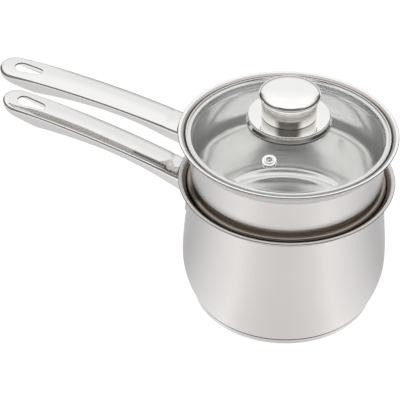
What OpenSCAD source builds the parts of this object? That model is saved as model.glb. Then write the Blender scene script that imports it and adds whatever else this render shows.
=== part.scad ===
// Double boiler: a lower pot, an insert that stands in its mouth, and a glass lid with a drum knob.
// The origin is the centre of the base's underside, +Z is up, and both handles point along -X.

/* [Pans] */
// Outer radius of both rims
rim_r = 85; // [70:0.5:120]
// Height of the lower pot's rim above the stove
pot_h = 110.9; // [90:0.5:150]
// Height of the insert's rim above the lower pot's rim
insert_rise = 43.5; // [32:0.5:60]
// Depth of the insert from its rim to the underside of its floor
insert_depth = 92.4; // [70:0.5:110]
// Thickness of the pans' steel sheet
sheet = 0.8; // [0.5:0.1:1.2]
// How far the rims stand out beyond the pot's neck
lip_w = 7.2; // [5:0.1:10]
// How far the belly stands out beyond the neck
belly_bulge = 3.8; // [1:0.1:8]
// Height of the belly's widest line
belly_z = 38; // [28:0.5:55]
// How far the base is drawn in from the belly
base_inset = 8.6; // [4:0.1:14]
// Radius of the insert's flare, on its upper face
insert_flare_r = 6.2; // [4:0.1:6.6]
// Lean of the insert's lid seat from the vertical, in degrees
seat_lean = 27; // [20:0.5:34]
// Corner radius between the insert's wall and floor
insert_corner_r = 12; // [4:0.5:20]

/* [Insert seat] */
// Gap between the insert's wall and the throat of the lower pot
throat_gap = 1.6; // [1:0.1:2.2]
// Radius of the bead that the insert rests on
bead_r = 2.3; // [1.8:0.1:3]
// Step in from the insert's upper wall to its lower wall
body_step = 2.4; // [1:0.1:5]
// Running gap between parts that lift apart
fit_gap = 0.3; // [0.2:0.05:0.5]

/* [Base] */
// Thickness of the aluminium disc
core_t = 4; // [2:0.1:8]
// Thickness of the steel cap round the disc
cap_t = 0.5; // [0.3:0.05:1]
// How far the cap stands inside the foot of the pot
cap_inset = 0.5; // [0.2:0.1:2]

/* [Handles] */
// Reach of both handles beyond the rim
handle_reach = 144; // [100:1:190]
// Half width of a handle at the pan
handle_root_w = 14; // [10:0.1:18]
// Half width of a handle near its end
handle_end_w = 13.7; // [10:0.1:18]
// Thickness of the handles' steel sheet
handle_t = 1.5; // [1:0.1:2]
// Rise of the lower handle over its reach, before its arch is taken off
pot_handle_rise = 62.4; // [30:0.2:80]
// Rise of the insert's handle over its reach, before its arch is taken off
insert_handle_rise = 48.4; // [30:0.2:80]
// Drop of the arch at the end of a handle
handle_arch = 13.4; // [0:0.1:20]
// Drop from the pot's rim to its handle, below the lip
pot_handle_drop = 4.2; // [3.5:0.1:10]
// Drop from the insert's rim to its handle, below the lip
insert_handle_drop = 3.8; // [3.5:0.1:10]
// Depth of a handle's skirt at the pan
skirt_root = 11.5; // [8:0.1:14]
// Depth of the skirt at the handle's waist
skirt_waist = 6.1; // [4:0.1:8]
// Depth of the skirt at its lowest corner, near the handle's end
skirt_belly = 10.7; // [6:0.1:14]
// Depth of the skirt at the handle's tip
skirt_tip = 5.5; // [3:0.1:8]
// Radius of the wide end of the hanging hole
hole_wide_r = 6; // [4:0.1:7]
// Radius of the narrow end of the hanging hole
hole_narrow_r = 4; // [2.5:0.1:5.5]
// Distance between the two ends' centres of the hanging hole
hole_span = 12; // [8:0.5:20]
// Distance from the handle's tip to the centre of the hole's wide end
hole_from_tip = 18; // [14:0.5:26]

/* [Handle brackets] */
// Thickness of a bracket's sheet
bracket_t = 1; // [0.8:0.1:1.5]
// Height of the plate that is welded to the wall
plate_h = 29.5; // [20:0.5:34]
// Corner radius of the plate
plate_corner_r = 3; // [1:0.5:6]
// Length of the tongue inside the handle
tongue_len = 30; // [15:1:45]
// Depth of the tongue's sides
tongue_h = 5.5; // [3:0.1:7]

/* [Lid] */
// Rise of the glass dome
dome_rise = 15.4; // [8:0.1:30]
// Thickness of the glass
glass_t = 4; // [3:0.1:6]
// Thickness of the band's sheet
band_t = 0.6; // [0.4:0.05:0.9]
// Thickness of the seal round the glass
seal_t = 1.2; // [0.5:0.1:1.5]
// Thickness of the seal's lip over the glass
seal_lip = 0.25; // [0.15:0.05:0.5]
// Width of the flange beyond the band's channel
flange_w = 1.6; // [1.5:0.1:3]
// Height of the flange's raised rim above its seat
flange_h = 2.6; // [2:0.1:3.2]
// Width of the flange's raised rim
flange_rim_w = 1.4; // [1:0.1:1.5]
// Depth of the band below the seat on the rim
band_drop = 6; // [5.5:0.1:8]
// How far the band grips over the glass
band_grip = 0.5; // [0.4:0.1:3]
// How far the band's ledge reaches under the glass
ledge_w = 3; // [2:0.1:8]
// Depth of the band's grip below the raised rim
band_step = 1.7; // [0.5:0.1:2]

/* [Knob] */
// Radius of the dish under the knob
dish_r = 32.7; // [26:0.1:45]
// Height of the dish
dish_h = 6.6; // [5:0.1:10]
// Thickness of the knob's steel
knob_t = 1; // [0.6:0.1:1.5]
// Radius of the drum
drum_r = 21.2; // [15:0.1:24]
// Hollow of the drum's side at its middle
drum_waist = 0.3; // [0:0.05:1]
// Height from the dish to the lower edge of the cap
drum_h = 16.6; // [10:0.1:30]
// Height of the side of the cap
cap_h = 5.2; // [3:0.1:9]
// How far the cap widens over its height
cap_flare = 1.4; // [0:0.1:3]
// Rise of the cap's domed top
cap_dome = 1.9; // [0.5:0.1:5]
// Radius of the threaded core
core_r = 6; // [4.5:0.1:9]
// Radius of the gasket between the knob and the glass
gasket_r = 20; // [10:0.5:25]

/* [Knob screw] */
// Radius of the screw
screw_r = 2.5; // [1.5:0.1:3]
// Radius of the screw's head
screw_head_r = 4.7; // [4:0.1:7]
// Height of the screw's head
screw_head_h = 2.8; // [2:0.1:4]
// Length of thread in the core
thread_len = 11; // [6:0.5:14]
// Radius of the steel washer
washer_r = 8; // [7.5:0.1:10]
// Thickness of the steel washer
washer_t = 1; // [0.5:0.1:2]
// Thickness of the soft ring under the glass
under_gasket_t = 1.2; // [0.8:0.1:2]
// Clearance between round pieces that are pressed together
snug_gap = 0.05; // [0.02:0.01:0.1]
// Width of the slots in the screw's head
slot_w = 1.2; // [0.8:0.1:1.6]

/* [Vent] */
// Distance of the vent from the edge of the glass
vent_from_edge = 26.5; // [13:0.5:35]
// Direction of the vent round the axis, in degrees
vent_turn = -97; // [-180:1:180]
// Radius of the vent's hole
vent_r = 2.25; // [1.5:0.05:2.4]
// Thickness of the rivet's wall
vent_wall = 0.75; // [0.4:0.05:0.9]
// Radius of the rings on and under the glass
vent_ring_r = 5.5; // [4.8:0.1:8]
// Thickness of the rings
vent_ring_t = 0.8; // [0.5:0.1:1.5]
// How far the rivet's rolled ends stand out over the rings
vent_roll = 0.8; // [0.4:0.1:1.2]

/* [Hidden] */
$fn = 128;

steel = [0.76, 0.76, 0.75];
bright_steel = [0.88, 0.88, 0.87];
aluminium = [0.66, 0.67, 0.68];
soft_clear = [0.85, 0.86, 0.84];
glass_tint = [0.78, 0.82, 0.80, 0.45];

// Lower pot: radii and heights of its outer face
lip_flat = 0.2;
neck_r = rim_r - lip_w;
belly_r = neck_r + belly_bulge;
foot_r = belly_r - base_inset;
foot_z = cap_t + core_t;
pot_flare_r = lip_w + sheet - lip_flat;
pot_flare_c = [rim_r - lip_flat, pot_h - pot_flare_r];
floor_z = foot_z + sheet;
cap_r = foot_r - cap_inset;

// Insert: its seat in the pot's throat
insert_h = pot_h + insert_rise;
insert_r = neck_r - sheet - throat_gap;
insert_in_r = insert_r - sheet;
body_r = insert_r - body_step;
insert_floor_z = insert_h - insert_depth;
bead_out = 0.5;
bead_x = insert_r + bead_out;
seat_reach = pot_flare_r + bead_r + fit_gap;
bead_z = pot_flare_c.y + sqrt(pow(seat_reach, 2) - pow(pot_flare_c.x - bead_x, 2));

// Insert: the leaning seat under its lip, where the lid rests
insert_flare_c = [rim_r - lip_flat, insert_h - insert_flare_r];
seat_r = insert_flare_c.x - insert_flare_r * cos(seat_lean);
seat_z = insert_flare_c.y + insert_flare_r * sin(seat_lean);
under_flare_r = insert_flare_r - sheet;
under_seat_r = insert_flare_c.x - under_flare_r * cos(seat_lean);
under_seat_z = insert_flare_c.y + under_flare_r * sin(seat_lean);
bend_z = seat_z - (seat_r - insert_in_r) / tan(seat_lean);
under_bend_z = under_seat_z - (under_seat_r - insert_r) / tan(seat_lean);

// Lid band, nested in the seat with the running gap
flange_r = seat_r - fit_gap * cos(seat_lean);
flange_z = seat_z + fit_gap * sin(seat_lean);
flange_top = flange_z + flange_h;
flange_in_r = flange_r - flange_rim_w;
channel_r = flange_r - flange_w;
channel_in_r = channel_r - band_t;
band_low_z = seat_z - band_drop;
nest_r = seat_r - fit_gap / cos(seat_lean);
taper_z = seat_z - (nest_r - channel_r) / tan(seat_lean);
band_low_r = nest_r - band_drop * tan(seat_lean);
lip_top = flange_top - band_step;
lip_under = lip_top - band_t;

// Glass dome: part of a sphere under the band's lip
glass_r = channel_in_r - seal_t;
grip_r = glass_r - band_grip;
ledge_r = glass_r - ledge_w;
dome_r = (glass_r * glass_r + dome_rise * dome_rise) / (2 * dome_rise);
dome_z = lip_under - seal_lip - sqrt(dome_r * dome_r - grip_r * grip_r);
under_dome_r = dome_r - glass_t;
glass_hole_r = screw_r + 1.5;

// Knob: heights from the glass up
dish_z = dome_at(dish_r - knob_t) + snug_gap;
dish_top = dish_z + dish_h;
dish_under = dish_top - knob_t;
cap_z = dish_top + drum_h;
cap_edge_r = drum_r + knob_t;
cap_top_r = cap_edge_r + cap_flare;
cap_shoulder_z = cap_z + cap_h;
drum_end_z = cap_shoulder_z - knob_t;
apex_under = dome_z + under_dome_r;
under_gasket_low = apex_under - under_gasket_t;
washer_low = under_gasket_low - washer_t;

// Vent: its place and tilt on the dome
vent_at = glass_r - vent_from_edge;
vent_tilt = asin(vent_at / dome_r);
vent_tube_r = vent_r + vent_wall;
vent_roll_r = vent_tube_r + vent_roll;
vent_ring_low = sqrt(pow(under_dome_r, 2) - pow(vent_ring_r, 2));

// Handles
tip_r = rim_r + handle_reach;
cut_margin = 1;
waist_at = 0.38;
belly_at = 0.79;
root_sweep = 2.2;
belly_sweep = 1.5;
tip_sweep = 1.2;

function bezier(a, b, c, d, steps) = [
    for (i = [0:steps])
        let (t = i / steps, u = 1 - t)
            u * u * u * a + 3 * u * u * t * b + 3 * u * t * t * c + t * t * t * d
];
function arc(centre, r, from, to, steps) = [
    for (i = [0:steps])
        let (a = from + (to - from) * i / steps)
            centre + r * [cos(a), sin(a)]
];
function reversed(list) = [for (i = [len(list) - 1:-1:0]) list[i]];
function dome_at(r) = dome_z + sqrt(dome_r * dome_r - r * r);
function under_dome_at(r) = dome_z + sqrt(under_dome_r * under_dome_r - r * r);

// The pot's wall from foot to flare: two curves that meet upright at the belly
function pot_wall(inset, low_z) =
    let (
        rise = belly_z - low_z,
        above = pot_flare_c.y - belly_z,
        foot = foot_r - inset,
        belly = belly_r - inset,
        neck = neck_r - inset
    )
        concat(
            bezier(
                [foot, low_z], [foot + base_inset / 3, low_z + rise * 0.18],
                [belly, belly_z - rise * 0.45], [belly, belly_z], 8
            ),
            bezier(
                [belly, belly_z], [belly, belly_z + above * 0.36],
                [neck, pot_flare_c.y - above * 0.46], [neck, pot_flare_c.y], 8
            )
        );
pot_outer = concat(pot_wall(0, foot_z), arc(pot_flare_c, pot_flare_r - sheet, 180, 90, 8));
pot_inner = concat(pot_wall(sheet, floor_z), arc(pot_flare_c, pot_flare_r, 180, 90, 8));

insert_body = arc([body_r - insert_corner_r, insert_floor_z + insert_corner_r], insert_corner_r, -90, 0, 6);
insert_neck = [[insert_r, bead_z + bead_r], [insert_r, under_bend_z]];
insert_outer = concat(
    insert_body,
    [[body_r, bead_z - bead_r]],
    arc([bead_x, bead_z], bead_r, -90, 90, 10),
    insert_neck,
    arc(insert_flare_c, under_flare_r, 180 - seat_lean, 90, 8)
);
insert_inner = concat(
    arc(
        [body_r - insert_corner_r, insert_floor_z + insert_corner_r],
        insert_corner_r - sheet, -90, 0, 6
    ),
    [[body_r - sheet, bead_z - bead_r + sheet]],
    arc([bead_x, bead_z], bead_r - sheet, -90, 90, 10),
    [[insert_in_r, bead_z + bead_r - sheet], [insert_in_r, bend_z]],
    arc(insert_flare_c, insert_flare_r, 180 - seat_lean, 90, 8)
);

// A drawn pan: its outer face, its rim's edge and its inner face, turned round the axis
module pan(outer, inner, rim_z) {
    rotate_extrude()
        polygon(concat(
            [[0, outer[0].y]],
            outer,
            [[rim_r, rim_z - sheet], [rim_r, rim_z]],
            reversed(inner),
            [[0, inner[0].y]]
        ));
}

// Everything inside a pan's outer face, grown sideways
module pan_block(outer, grow) {
    last = outer[len(outer) - 1];
    rotate_extrude()
        polygon(concat(
            [[0, outer[0].y]],
            [for (p = outer) [p.x + grow, p.y]],
            [[0, last.y]]
        ));
}

// Height of a handle's top at a distance from the axis, above its own root height
function handle_top(s, rise) =
    let (t = (s - rim_r) / handle_reach)
        rise * t - handle_arch * t * t;

// The skirt narrows from the pan to a waist, swells to its lowest corner and tapers to the tip
function skirt_depth(s) =
    let (t = min(1, max(0, (s - rim_r) / handle_reach)))
        t < waist_at ? skirt_waist + (skirt_root - skirt_waist) * pow(1 - t / waist_at, root_sweep)
        : t < belly_at ? skirt_waist
            + (skirt_belly - skirt_waist) * pow((t - waist_at) / (belly_at - waist_at), belly_sweep)
        : skirt_belly + (skirt_tip - skirt_belly) * pow((t - belly_at) / (1 - belly_at), tip_sweep);

// Side view of a handle between two depths, from near the axis to past its tip
module handle_side(root_z, rise, top_drop, depth, from, to, steps) {
    stations = [for (i = [0:steps]) from + (to - from) * i / steps];
    top = [for (s = stations) [s, root_z + handle_top(s, rise) - top_drop]];
    bottom = [
        for (s = stations)
            [s, root_z + handle_top(s, rise) - (depth == undef ? skirt_depth(s) : depth)]
    ];
    rotate([90, 0, 0])
        linear_extrude(height = 4 * handle_root_w, center = true)
            polygon(concat(top, reversed(bottom)));
}

// Plan view of a handle, drawn in from its edge
module handle_plan(inset, from, to) {
    end_r = handle_end_w - inset;
    end_x = tip_r - handle_end_w;
    root_w = handle_root_w - inset;
    intersection() {
        union() {
            polygon([[0, -root_w], [end_x, -end_r], [end_x, end_r], [0, root_w]]);
            translate([end_x, 0])
                circle(r = end_r);
        }
        translate([from, -handle_root_w * 2])
            square([to - from, handle_root_w * 4]);
    }
}

// Teardrop: two circles and the flat sides that touch both
module hanging_hole() {
    wide_x = tip_r - hole_from_tip;
    narrow_x = wide_x - hole_span;
    lean = asin((hole_wide_r - hole_narrow_r) / hole_span);
    wide_touch = [wide_x - hole_wide_r * sin(lean), hole_wide_r * cos(lean)];
    narrow_touch = [narrow_x - hole_narrow_r * sin(lean), hole_narrow_r * cos(lean)];
    translate([wide_x, 0])
        circle(r = hole_wide_r);
    translate([narrow_x, 0])
        circle(r = hole_narrow_r);
    polygon([
        wide_touch, narrow_touch,
        [narrow_touch.x, -narrow_touch.y], [wide_touch.x, -wide_touch.y]
    ]);
}

// A stamped channel, open below, that starts at the bracket's plate
module handle(outer, root_z, rise) {
    from = neck_r / 2;
    mirror([1, 0, 0])
        difference() {
            intersection() {
                handle_side(root_z, rise, 0, undef, from, tip_r + cut_margin, 40);
                linear_extrude(height = 3 * insert_h)
                    handle_plan(0, from, tip_r + cut_margin);
            }
            intersection() {
                handle_side(root_z, rise, handle_t, 4 * skirt_belly, from - cut_margin, tip_r + cut_margin, 40);
                linear_extrude(height = 3 * insert_h)
                    handle_plan(handle_t, from - cut_margin, tip_r + cut_margin);
            }
            linear_extrude(height = 3 * insert_h)
                hanging_hole();
            pan_block(outer, bracket_t);
        }
}

// The welded plate and the tongue that the handle fits over
module bracket(outer, root_z, rise) {
    plate_top = root_z + handle_top(neck_r, rise);
    tongue_end = neck_r + tongue_len;
    from = neck_r / 2;
    intersection() {
        difference() {
            pan_block(outer, bracket_t);
            pan_block(outer, 0);
        }
        rotate([90, 0, -90])
            linear_extrude(height = 2 * rim_r)
                translate([0, plate_top - plate_h / 2])
                    rounded_plate();
    }
    mirror([1, 0, 0])
        difference() {
            intersection() {
                handle_side(root_z, rise, handle_t, handle_t + tongue_h, from, tongue_end, 12);
                linear_extrude(height = 3 * insert_h)
                    handle_plan(handle_t, from, tongue_end);
            }
            intersection() {
                handle_side(
                    root_z, rise, handle_t + bracket_t, 4 * skirt_belly,
                    from - cut_margin, tongue_end + cut_margin, 12
                );
                linear_extrude(height = 3 * insert_h)
                    handle_plan(handle_t + bracket_t, from - cut_margin, tongue_end + cut_margin);
            }
            pan_block(outer, bracket_t / 2);
        }
}

module rounded_plate() {
    w = 2 * handle_root_w;
    square([w - 2 * plate_corner_r, plate_h], center = true);
    square([w, plate_h - 2 * plate_corner_r], center = true);
    for (x = [-1, 1], y = [-1, 1])
        translate([x * (w / 2 - plate_corner_r), y * (plate_h / 2 - plate_corner_r)])
            circle(r = plate_corner_r);
}

// A flat ring round an axis
module ring(outer_r, inner_r, low, high) {
    difference() {
        translate([0, 0, low])
            cylinder(r = outer_r, h = high - low);
        translate([0, 0, low - cut_margin])
            cylinder(r = inner_r, h = high - low + 2 * cut_margin);
    }
}

// Puts what it holds on the dome, with its own +Z along the dome's radius at the vent
module at_vent() {
    translate([0, 0, dome_z])
        rotate([0, 0, vent_turn])
            rotate([0, vent_tilt, 0])
                children();
}

module lower_pot_shell() {
    color(steel)
        pan(pot_outer, pot_inner, pot_h);
}

module base_core() {
    color(aluminium)
        translate([0, 0, cap_t])
            cylinder(r = cap_r - cap_t, h = core_t);
}

module base_cap() {
    color(bright_steel)
        difference() {
            cylinder(r = cap_r, h = foot_z);
            translate([0, 0, cap_t])
                cylinder(r = cap_r - cap_t, h = foot_z);
        }
}

module lower_handle() {
    color(bright_steel)
        handle(pot_outer, pot_h - pot_handle_drop, pot_handle_rise);
}

module lower_handle_bracket() {
    color(steel)
        bracket(pot_outer, pot_h - pot_handle_drop, pot_handle_rise);
}

module insert_shell() {
    color(steel)
        pan(insert_outer, insert_inner, insert_h);
}

module insert_handle() {
    color(bright_steel)
        handle(insert_outer, insert_h - insert_handle_drop, insert_handle_rise);
}

module insert_handle_bracket() {
    color(steel)
        bracket(insert_outer, insert_h - insert_handle_drop, insert_handle_rise);
}

module glass_dome() {
    translate([0, 0, dome_z])
        difference() {
            sphere(r = dome_r);
            sphere(r = under_dome_r);
        }
}

module lid_glass() {
    color(glass_tint)
        difference() {
            intersection() {
                glass_dome();
                translate([0, 0, dome_z + under_dome_r / 2])
                    cylinder(r = glass_r, h = dome_r);
            }
            translate([0, 0, dome_z + under_dome_r / 2])
                cylinder(r = glass_hole_r, h = dome_r);
            at_vent()
                cylinder(r = vent_tube_r + snug_gap, h = 2 * dome_r);
        }
}

module lid_band() {
    color(bright_steel)
        rotate_extrude()
            polygon([
                [grip_r, lip_under],
                [grip_r, lip_top],
                [flange_in_r, lip_top],
                [flange_in_r, flange_top],
                [flange_r - band_t, flange_top],
                [flange_r, flange_top - band_t],
                [flange_r, flange_z],
                [channel_r + band_t, flange_z],
                [channel_r, flange_z - band_t],
                [channel_r, taper_z],
                [band_low_r, band_low_z],
                [ledge_r, band_low_z],
                [ledge_r, band_low_z + band_t],
                [band_low_r - band_t, band_low_z + band_t],
                [channel_in_r, taper_z + band_t],
                [channel_in_r, lip_under]
            ]);
}

module glass_seal() {
    color(soft_clear)
        difference() {
            rotate_extrude()
                polygon([
                    [ledge_r, band_low_z + band_t],
                    [band_low_r - band_t, band_low_z + band_t],
                    [channel_in_r, taper_z + band_t],
                    [channel_in_r, lip_under],
                    [grip_r, lip_under]
                ]);
            intersection() {
                glass_dome();
                cylinder(r = glass_r, h = 2 * insert_h);
            }
        }
}

module vent_eyelet() {
    top = dome_r + vent_ring_t;
    low = vent_ring_low - vent_ring_t;
    roll_in = vent_roll / 2;
    color(bright_steel)
        at_vent()
            rotate_extrude()
                polygon([
                    [vent_r, low - roll_in],
                    [vent_r + roll_in, low - vent_roll],
                    [vent_roll_r - roll_in, low - vent_roll],
                    [vent_roll_r, low - roll_in],
                    [vent_roll_r, low],
                    [vent_tube_r, low],
                    [vent_tube_r, top],
                    [vent_roll_r, top],
                    [vent_roll_r, top + roll_in],
                    [vent_roll_r - roll_in, top + vent_roll],
                    [vent_r + roll_in, top + vent_roll],
                    [vent_r, top + roll_in]
                ]);
}

module vent_washer_top() {
    color(bright_steel)
        at_vent()
            ring(vent_ring_r, vent_tube_r + snug_gap, dome_r, dome_r + vent_ring_t);
}

module vent_washer_bottom() {
    color(bright_steel)
        at_vent()
            ring(vent_ring_r, vent_tube_r + snug_gap, vent_ring_low - vent_ring_t, vent_ring_low);
}

module knob_base() {
    shoulder = dish_h / 3;
    edge_step = 0.4;
    edge_r = dish_r - 5 * edge_step;
    color(bright_steel)
        rotate_extrude()
            polygon([
                [dish_r - edge_step, dish_z],
                [dish_r, dish_z + edge_step],
                [dish_r, dish_z + shoulder],
                [dish_r - edge_step, dish_z + 1.5 * shoulder],
                [dish_r - 2 * edge_step, dish_z + 2 * shoulder],
                [dish_r - 3 * edge_step, dish_z + 2 * shoulder + edge_step],
                [dish_r - 3 * edge_step, dish_top - 2 * edge_step],
                [edge_r, dish_top],
                [core_r, dish_top],
                [core_r, dish_under],
                [edge_r - 2 * edge_step, dish_under],
                [dish_r - knob_t - edge_step * 2, dish_z + 2 * shoulder],
                [dish_r - knob_t, dish_z + shoulder],
                [dish_r - knob_t, dish_z]
            ]);
}

// The drum's side, hollowed a little at its middle
function drum_side(r, low, high) = [
    for (i = [0:8])
        let (t = i / 8)
            [r - drum_waist * sin(180 * t), low + (high - low) * t]
];

module knob_stem() {
    color(bright_steel)
        rotate_extrude()
            polygon(concat(
                [[core_r, dish_top]],
                drum_side(drum_r, dish_top, cap_z),
                [[drum_r, drum_end_z], [drum_r - knob_t, drum_end_z]],
                reversed(drum_side(drum_r - knob_t, dish_top + knob_t, cap_z)),
                [[core_r, dish_top + knob_t]]
            ));
}

// The cap's top is a shallow part of a sphere with a rounded edge
module knob_cap() {
    top_r = (cap_top_r * cap_top_r + cap_dome * cap_dome) / (2 * cap_dome);
    centre = [0, cap_shoulder_z + cap_dome - top_r];
    edge = asin((cap_top_r - knob_t) / top_r);
    inner = asin(drum_r / (top_r - knob_t));
    color(bright_steel)
        rotate_extrude()
            polygon(concat(
                [[drum_r, cap_z], [cap_edge_r, cap_z], [cap_top_r, cap_shoulder_z]],
                arc(centre, top_r, 90 - edge, 90, 8),
                arc(centre, top_r - knob_t, 90, 90 - inner, 6)
            ));
}

module knob_core() {
    color(steel)
        difference() {
            translate([0, 0, dish_under])
                cylinder(r = core_r, h = cap_shoulder_z - dish_under);
            translate([0, 0, dish_under - cut_margin])
                cylinder(r = screw_r + snug_gap, h = thread_len + 2 * cut_margin);
        }
}

// Both soft rings follow the curve of the glass
module knob_gasket() {
    color(soft_clear)
        rotate_extrude()
            polygon(concat(
                [for (i = [0:6]) let (r = core_r + (gasket_r - core_r) * i / 6) [r, dome_at(r) + snug_gap]],
                [[gasket_r, dish_under], [core_r, dish_under]]
            ));
}

module under_gasket() {
    inner_r = screw_r + snug_gap;
    color(soft_clear)
        rotate_extrude()
            polygon(concat(
                [for (i = [0:4]) let (r = inner_r + (washer_r - inner_r) * i / 4) [r, under_dome_at(r)]],
                [[washer_r, under_gasket_low], [inner_r, under_gasket_low]]
            ));
}

module screw_washer() {
    color(steel)
        ring(washer_r, screw_r + snug_gap, washer_low, under_gasket_low);
}

module knob_screw() {
    head_low = washer_low - screw_head_h;
    color(steel)
        difference() {
            union() {
                translate([0, 0, head_low])
                    cylinder(r = screw_head_r, h = screw_head_h);
                translate([0, 0, washer_low])
                    cylinder(r = screw_r, h = dish_under + thread_len - washer_low);
            }
            for (turn = [0, 90])
                rotate([0, 0, turn])
                    translate([-screw_r, -slot_w / 2, head_low - cut_margin])
                        cube([2 * screw_r, slot_w, screw_head_h / 2 + cut_margin]);
        }
}

lower_pot_shell();
base_core();
base_cap();
lower_handle();
lower_handle_bracket();
insert_shell();
insert_handle();
insert_handle_bracket();
lid_glass();
lid_band();
glass_seal();
vent_eyelet();
vent_washer_top();
vent_washer_bottom();
knob_base();
knob_stem();
knob_cap();
knob_core();
knob_gasket();
under_gasket();
screw_washer();
knob_screw();
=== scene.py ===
"""Looks of a double boiler: lower pot, insert and glass lid, all in steel apart from the glass."""
import math

import bmesh
import bpy
from mathutils import Matrix, Vector
from mathutils.geometry import delaunay_2d_cdt


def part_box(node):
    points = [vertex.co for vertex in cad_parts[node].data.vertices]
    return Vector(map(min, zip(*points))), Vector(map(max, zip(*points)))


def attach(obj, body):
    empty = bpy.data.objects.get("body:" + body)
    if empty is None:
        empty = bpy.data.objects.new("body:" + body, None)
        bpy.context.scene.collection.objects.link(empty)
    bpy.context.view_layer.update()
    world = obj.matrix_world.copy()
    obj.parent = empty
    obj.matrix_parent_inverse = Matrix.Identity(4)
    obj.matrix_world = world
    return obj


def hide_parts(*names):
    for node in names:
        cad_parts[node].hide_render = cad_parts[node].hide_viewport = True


MM = 0.001

# Camera: where it stands, how it is turned, and its lens
CAMERA_AT = (0.1545, -1.0141, 0.8723)
CAMERA_TURN = 12.45
CAMERA_TILT = 52.53
CAMERA_ROLL = 0.11
CAMERA_LENS = 146.35
CAMERA_SENSOR = 36.0
CAMERA_CLIP = 20.0

# Steps round a turned piece, and the fold above which an edge stays sharp
SEGMENTS = 224
SMALL_SEGMENTS = 64
SHARP_ANGLE = math.radians(38)

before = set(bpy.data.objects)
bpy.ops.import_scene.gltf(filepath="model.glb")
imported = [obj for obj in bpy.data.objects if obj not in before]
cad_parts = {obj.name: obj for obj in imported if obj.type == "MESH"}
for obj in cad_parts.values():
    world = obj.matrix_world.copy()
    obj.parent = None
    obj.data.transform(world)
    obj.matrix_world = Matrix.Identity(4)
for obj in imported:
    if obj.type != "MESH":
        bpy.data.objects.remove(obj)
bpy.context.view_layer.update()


def millimetres(node):
    """The lowest and highest corner of a CAD node, in millimetres."""
    low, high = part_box(node)
    return low / MM, high / MM


# Sizes in millimetres, read from the frame where a box gives them
RIM_R = millimetres("lower_pot_shell")[1].y
POT_H = millimetres("lower_pot_shell")[1].z
INSERT_H = millimetres("insert_shell")[1].z
INSERT_FLOOR_Z = millimetres("insert_shell")[0].z
FOOT_Z = millimetres("base_cap")[1].z
CAP_R = millimetres("base_cap")[1].y
TIP_R = -millimetres("lower_handle")[0].x
SHEET = 0.8
# The pans' walls: lip, flare, belly, neck, seating bead and corner
LIP_W = 7.2
LIP_FLAT = 0.2
BELLY_BULGE = 3.8
BELLY_Z = 38.0
BASE_INSET = 8.6
# How far the wall's two curves run straight on at foot, belly and neck, as shares of their heights
FOOT_PULL = 0.18
BELLY_PULL_DOWN = 0.45
BELLY_PULL_UP = 0.36
NECK_PULL = 0.46
INSERT_FLARE_R = 6.2
SEAT_LEAN = 27.0
INSERT_CORNER_R = 12.0
THROAT_GAP = 1.6
BEAD_R = 2.3
BEAD_OUT = 0.5
BODY_STEP = 2.4
RAMP_PULL = 9.0
# Rounded corners under and over the bead, and at the bend of the flare
BODY_STEP_R = 0.8
BEAD_TOP_R = 0.5
FLARE_BEND_R = 1.5
FIT_GAP = 0.3

NECK_R = RIM_R - LIP_W
BELLY_R = NECK_R + BELLY_BULGE
FOOT_R = BELLY_R - BASE_INSET
POT_FLARE_R = LIP_W + SHEET - LIP_FLAT
POT_FLARE_C = (RIM_R - LIP_FLAT, POT_H - POT_FLARE_R)
INSERT_R = NECK_R - SHEET - THROAT_GAP
BODY_R = INSERT_R - BODY_STEP
BEAD_X = INSERT_R + BEAD_OUT
BEAD_Z = POT_FLARE_C[1] + math.sqrt(
    (POT_FLARE_R + BEAD_R + FIT_GAP) ** 2 - (POT_FLARE_C[0] - BEAD_X) ** 2
)
INSERT_FLARE_C = (RIM_R - LIP_FLAT, INSERT_H - INSERT_FLARE_R)
# The inner wall passes the bead in a long ramp
RAMP_LOW_Z = BEAD_Z - BEAD_R
RAMP_HIGH_Z = BEAD_Z + 9 * BEAD_R

# Height of the painted shade line under each pan's flare, half its width, and how far below the
# insert's line the flare's dull finish goes
POT_BAND_Z = 103.6
INSERT_BAND_Z = 147.9
BAND_LINE = 0.15
FLARE_BELOW_BAND = 5.0
# Lowest height of the insert's satin wall; the steel below it stands in the pot and takes the gap's
# painted shade
INSERT_SATIN_Z = 117.0
# Width of the painted shade line along the rims' cut edge
EDGE_W = 0.5
# How far the painted highlight ring goes down each lip's inner face, and the painted shade ring inside
# it
POT_LIP_BRIGHT = 0.5
INSERT_LIP_BRIGHT = 0.4
INSERT_LIP_SHADE = 1.5
# Height of the painted shade band at the seam between the pot's foot and the base cap
SEAM = 1.6

# Base cap: its sheet and its rounded edges
BASE_CAP_T = 0.5
BASE_LOW_R = 1.2
BASE_TOP_R = 0.2
BASE_TOP_FLAT = 0.1

# Handles: half widths, rise and arch of the middle line, and where it starts below each rim
HANDLE_REACH = 144.0
ROOT_W = 14.0
END_W = 13.7
HANDLE_T = 1.5
ARCH = 13.4
POT_RISE = 62.4
INSERT_RISE = 48.4
POT_DROP = 4.2
INSERT_DROP = 3.8
# Depth of the skirts at four places along the handle, and how each stretch sweeps
SKIRT_ROOT = 11.5
SKIRT_WAIST = 6.1
SKIRT_BELLY = 10.7
SKIRT_TIP = 5.5
WAIST_AT = 0.38
BELLY_AT = 0.79
ROOT_SWEEP = 2.2
BELLY_SWEEP = 1.5
TIP_SWEEP = 1.2
# Hanging hole
HOLE_WIDE_R = 6.0
HOLE_NARROW_R = 4.0
HOLE_SPAN = 12.0
HOLE_FROM_TIP = 18.0
HOLE_EDGE_R = 0.7
HOLE_BEVEL = 0.2
# Rounded upper edge: its radius along the handle, and how far it falls for its radius
EDGE_R_ROOT = 3.0
EDGE_R_MIDDLE = 2.0
EDGE_R_TIP = 4.4
EDGE_MIDDLE_FROM = 0.3
EDGE_MIDDLE_TO = 0.78
EDGE_FALL = 0.9
CROWN = 2.1
CROWN_FADE = 70.0
CROWN_POWER = 1.3
PLATE_T = 1.0
# Where the handle's root has stopped following the pan's wall
FIT_END = 95.0
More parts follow.
